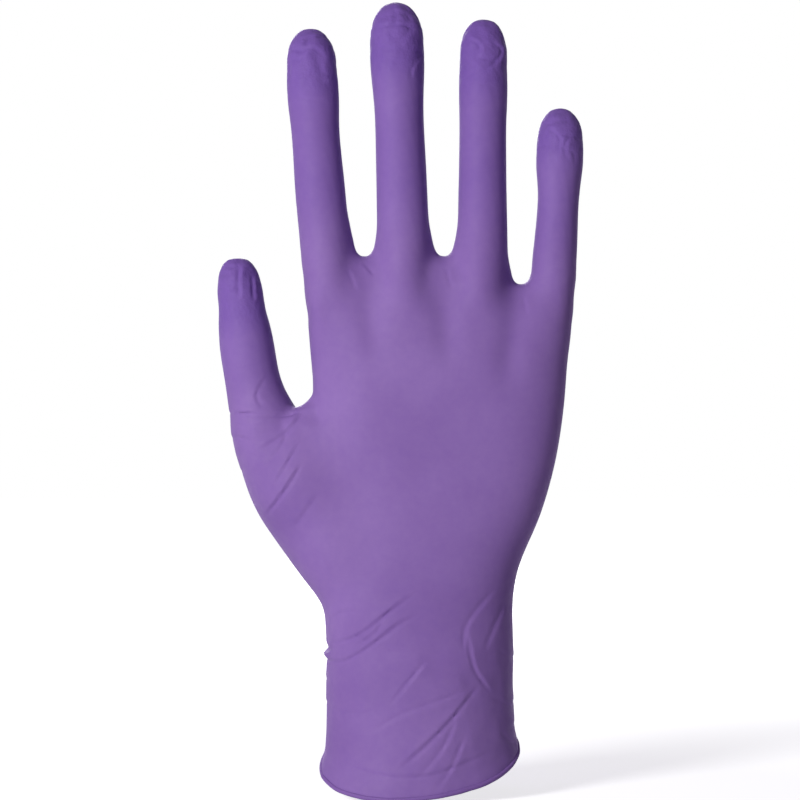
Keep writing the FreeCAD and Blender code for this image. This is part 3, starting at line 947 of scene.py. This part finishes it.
def film_piece(name, chosen, points, normals, starts, totals, corner):
    """One zone of the skin as a closed piece: outside, inside and the walls at its cuts."""
    faces = [corner[starts[k]:starts[k] + totals[k]].tolist() for k in np.flatnonzero(chosen)]
    used, inverse = np.unique(np.concatenate(faces), return_inverse=True)
    local, at = [], 0
    for face in faces:
        local.append(inverse[at:at + len(face)].tolist())
        at += len(face)
    count = len(used)
    inner = [[v + count for v in reversed(face)] for face in local]
    sides = dict.fromkeys(side for face in local for side in zip(face, face[1:] + face[:1]))
    walls = [[b, a, a + count, b + count] for a, b in sides if (b, a) not in sides]
    outside = points[used]
    inside = outside - normals[used] * FILM
    mesh = bpy.data.meshes.new(name)
    mesh.from_pydata(np.concatenate([outside, inside]).tolist(), [], local + inner + walls)
    smooth = [True] * (2 * len(local)) + [False] * len(walls)
    mesh.polygons.foreach_set("use_smooth", smooth)
    mesh.update()
    # the whole skin's normals, so that no seam shows between zones; none on the walls
    turned = np.concatenate([normals[used], -normals[used]])
    order = np.empty(len(mesh.loops), int)
    mesh.loops.foreach_get("vertex_index", order)
    wanted = turned[order]
    wanted[len(order) - 4 * len(walls):] = 0
    mesh.normals_split_custom_set(wanted.tolist())
    keep_rest_place(mesh, np.concatenate([outside, outside]))
    piece = bpy.data.objects.new(name, mesh)
    bpy.context.scene.collection.objects.link(piece)
    return piece


def keep_rest_place(mesh, places):
    """Stores where each point is at rest, and how slack the film is there, which also sets the fingers' painted
    shade.
    """
    rest = mesh.attributes.new("rest_place", "FLOAT_VECTOR", "POINT")
    rest.data.foreach_set("vector", places.astype(np.float32).ravel())
    looseness_and_shade = mesh.attributes.new("slack_and_shade", "FLOAT", "POINT")
    looseness_and_shade.data.foreach_set("value", slack_and_shade_of(places).astype(np.float32))


def film_pieces(parted):
    """The skin's pieces by the name of the CAD node that each stands for."""
    points = np.empty(len(parted.vertices) * 3)
    normals = np.empty(len(parted.vertices) * 3)
    parted.vertices.foreach_get("co", points)
    parted.vertices.foreach_get("normal", normals)
    points, normals = points.reshape(-1, 3), normals.reshape(-1, 3)
    corner = np.empty(len(parted.loops), int)
    parted.loops.foreach_get("vertex_index", corner)
    starts, totals = (np.empty(len(parted.polygons), int) for _ in range(2))
    parted.polygons.foreach_get("loop_start", starts)
    parted.polygons.foreach_get("loop_total", totals)
    centres = np.empty(len(parted.polygons) * 3)
    parted.polygons.foreach_get("center", centres)
    names = zone_names(centres.reshape(-1, 3))
    return {node: film_piece(node + "_film", names == node, points, normals, starts, totals,
                             corner)
            for node in frame["nodes"] if node != "cuff_bead"}


def rim_loop(piece):
    """Points around the cuff's open edge, in order."""
    points = np.array([vertex.co for vertex in piece.data.vertices])
    outside = points[:len(points) // 2]
    above_rim = (outside - (0, 0, BEAD_HEIGHT / 2)) @ -rim_out
    edge = outside[np.abs(above_rim) < 0.05 * MM]
    return edge[np.argsort(np.arctan2(edge[:, 1], edge[:, 0]))]


def rolled_bead(piece):
    """The film's edge rolled on itself: a round cord along the rim, not quite even."""
    edge = rim_loop(piece)
    turn = np.arctan2(edge[:, 1], edge[:, 0])
    around = np.linspace(-math.pi, math.pi, BEAD_POINTS, endpoint=False)
    line = np.stack([np.interp(around, turn, edge[:, a], period=2 * math.pi)
                     for a in range(3)], axis=1)
    line = (np.roll(line, 1, axis=0) + 2 * line + np.roll(line, -1, axis=0)) / 4
    ahead = np.roll(line, -1, axis=0) - np.roll(line, 1, axis=0)
    ahead /= np.linalg.norm(ahead, axis=1)[:, None]
    outward = np.cross(ahead, -rim_out)
    outward /= np.linalg.norm(outward, axis=1)[:, None]
    upward = np.cross(outward, ahead)
    line = line - outward * FILM / 2
    plump = (1 + 0.10 * lattice_noise(line / (7 * MM), 21)
             + 0.05 * lattice_noise(line / (2 * MM), 22))
    points = []
    for k in range(BEAD_SIDES):
        angle = 2 * math.pi * k / BEAD_SIDES
        ring = outward * math.cos(angle) * BEAD_THICK + upward * math.sin(angle) * BEAD_RADIUS
        points.append(line + ring * plump[:, None])
    points = np.concatenate(points)
    faces = []
    for k in range(BEAD_SIDES):
        here, above = k * BEAD_POINTS, (k + 1) % BEAD_SIDES * BEAD_POINTS
        for j in range(BEAD_POINTS):
            ahead_of_j = (j + 1) % BEAD_POINTS
            faces.append([here + j, here + ahead_of_j, above + ahead_of_j, above + j])
    mesh = new_mesh("cuff_bead_roll", points, np.array(faces))
    mesh.polygons.foreach_set("use_smooth", [True] * len(faces))
    keep_rest_place(mesh, points)
    bead = bpy.data.objects.new("cuff_bead_roll", mesh)
    bpy.context.scene.collection.objects.link(bead)
    return bead


def follow_bodies(pieces):
    """Stiff zones ride on their body; each flex band stays where it lies, on no body."""
    for node, piece in pieces.items():
        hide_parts(node)
        if not node.endswith("flex_band"):
            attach(piece, bodies_of[node])
            continue
        places = corners(node)
        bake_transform(piece)


# ------------------------------------------------------------------ studio
def make_floor():
    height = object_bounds()[0][2] - FLOOR_GAP
    corner = np.array([(x * FLOOR_HALF, y * FLOOR_HALF, height)
                       for x, y in ((-1, -1), (1, -1), (1, 1), (-1, 1))])
    floor = bpy.data.objects.new("studio_floor", new_mesh("studio_floor", corner,
                                                          np.array([(0, 1, 2, 3)])))
    floor.data.materials.append(painted_board())
    bpy.context.scene.collection.objects.link(floor)


def make_lamp(name, place, width, power):
    lamp = bpy.data.lights.new(name, "AREA")
    lamp.shape = "DISK"
    lamp.size = width
    lamp.energy = power
    holder = bpy.data.objects.new(name, lamp)
    holder.location = place
    aim = Vector(LAMP_AIM) - Vector(place)
    holder.rotation_euler = aim.to_track_quat("-Z", "Y").to_euler()
    bpy.context.scene.collection.objects.link(holder)


def make_world():
    """White to the eye, and an even, faintly violet light for everything else."""
    world = bpy.data.worlds.new("studio")
    world.use_nodes = True
    tree = world.node_tree
    tree.nodes.clear()
    seen = add_node(tree, "ShaderNodeBackground", Color=srgb("#FFFFFF"), Strength=1.0)
    ambient = add_node(tree, "ShaderNodeBackground", Color=srgb(AMBIENT_COLOUR),
                       Strength=AMBIENT)
    mixed = add_node(tree, "ShaderNodeMixShader",
                     [(0, seen_rays(tree)), (1, ambient.outputs[0]), (2, seen.outputs[0])])
    add_node(tree, "ShaderNodeOutputWorld", [("Surface", mixed.outputs[0])])
    bpy.context.scene.world = world


def make_camera():
    """Straight at the back of the hand, a metre away."""
    camera = bpy.data.cameras.new("camera")
    camera.sensor_width = SENSOR_WIDTH
    camera.lens = SENSOR_WIDTH * CAMERA_FAR / VIEW_WIDTH
    camera.clip_end = 20.0
    holder = bpy.data.objects.new("camera", camera)
    holder.location = (VIEW_CENTRE[0], -CAMERA_FAR, VIEW_CENTRE[1])
    holder.rotation_euler = (math.radians(90), 0, 0)
    bpy.context.scene.collection.objects.link(holder)
    bpy.context.scene.camera = holder


make_camera()
field, field_origin = shape_field()
skin = finer(new_mesh("skin_grid", *surface_of(field, field_origin)))
shape_details(skin)
pieces = film_pieces(part_skin(skin))
pieces["cuff_bead"] = rolled_bead(pieces["cuff_sleeve"])
film = nitrile("dipped_nitrile", FILM_COLOURS, FILM_ROUGHNESS)
bead = nitrile("rolled_nitrile_bead", BEAD_COLOURS, BEAD_ROUGHNESS)
for name, piece in pieces.items():
    piece.data.materials.append(bead if name == "cuff_bead" else film)
follow_bodies(pieces)
make_floor()
make_world()
for lamp in LAMPS:
    make_lamp(*lamp)
bpy.context.scene.view_settings.view_transform = "Standard"
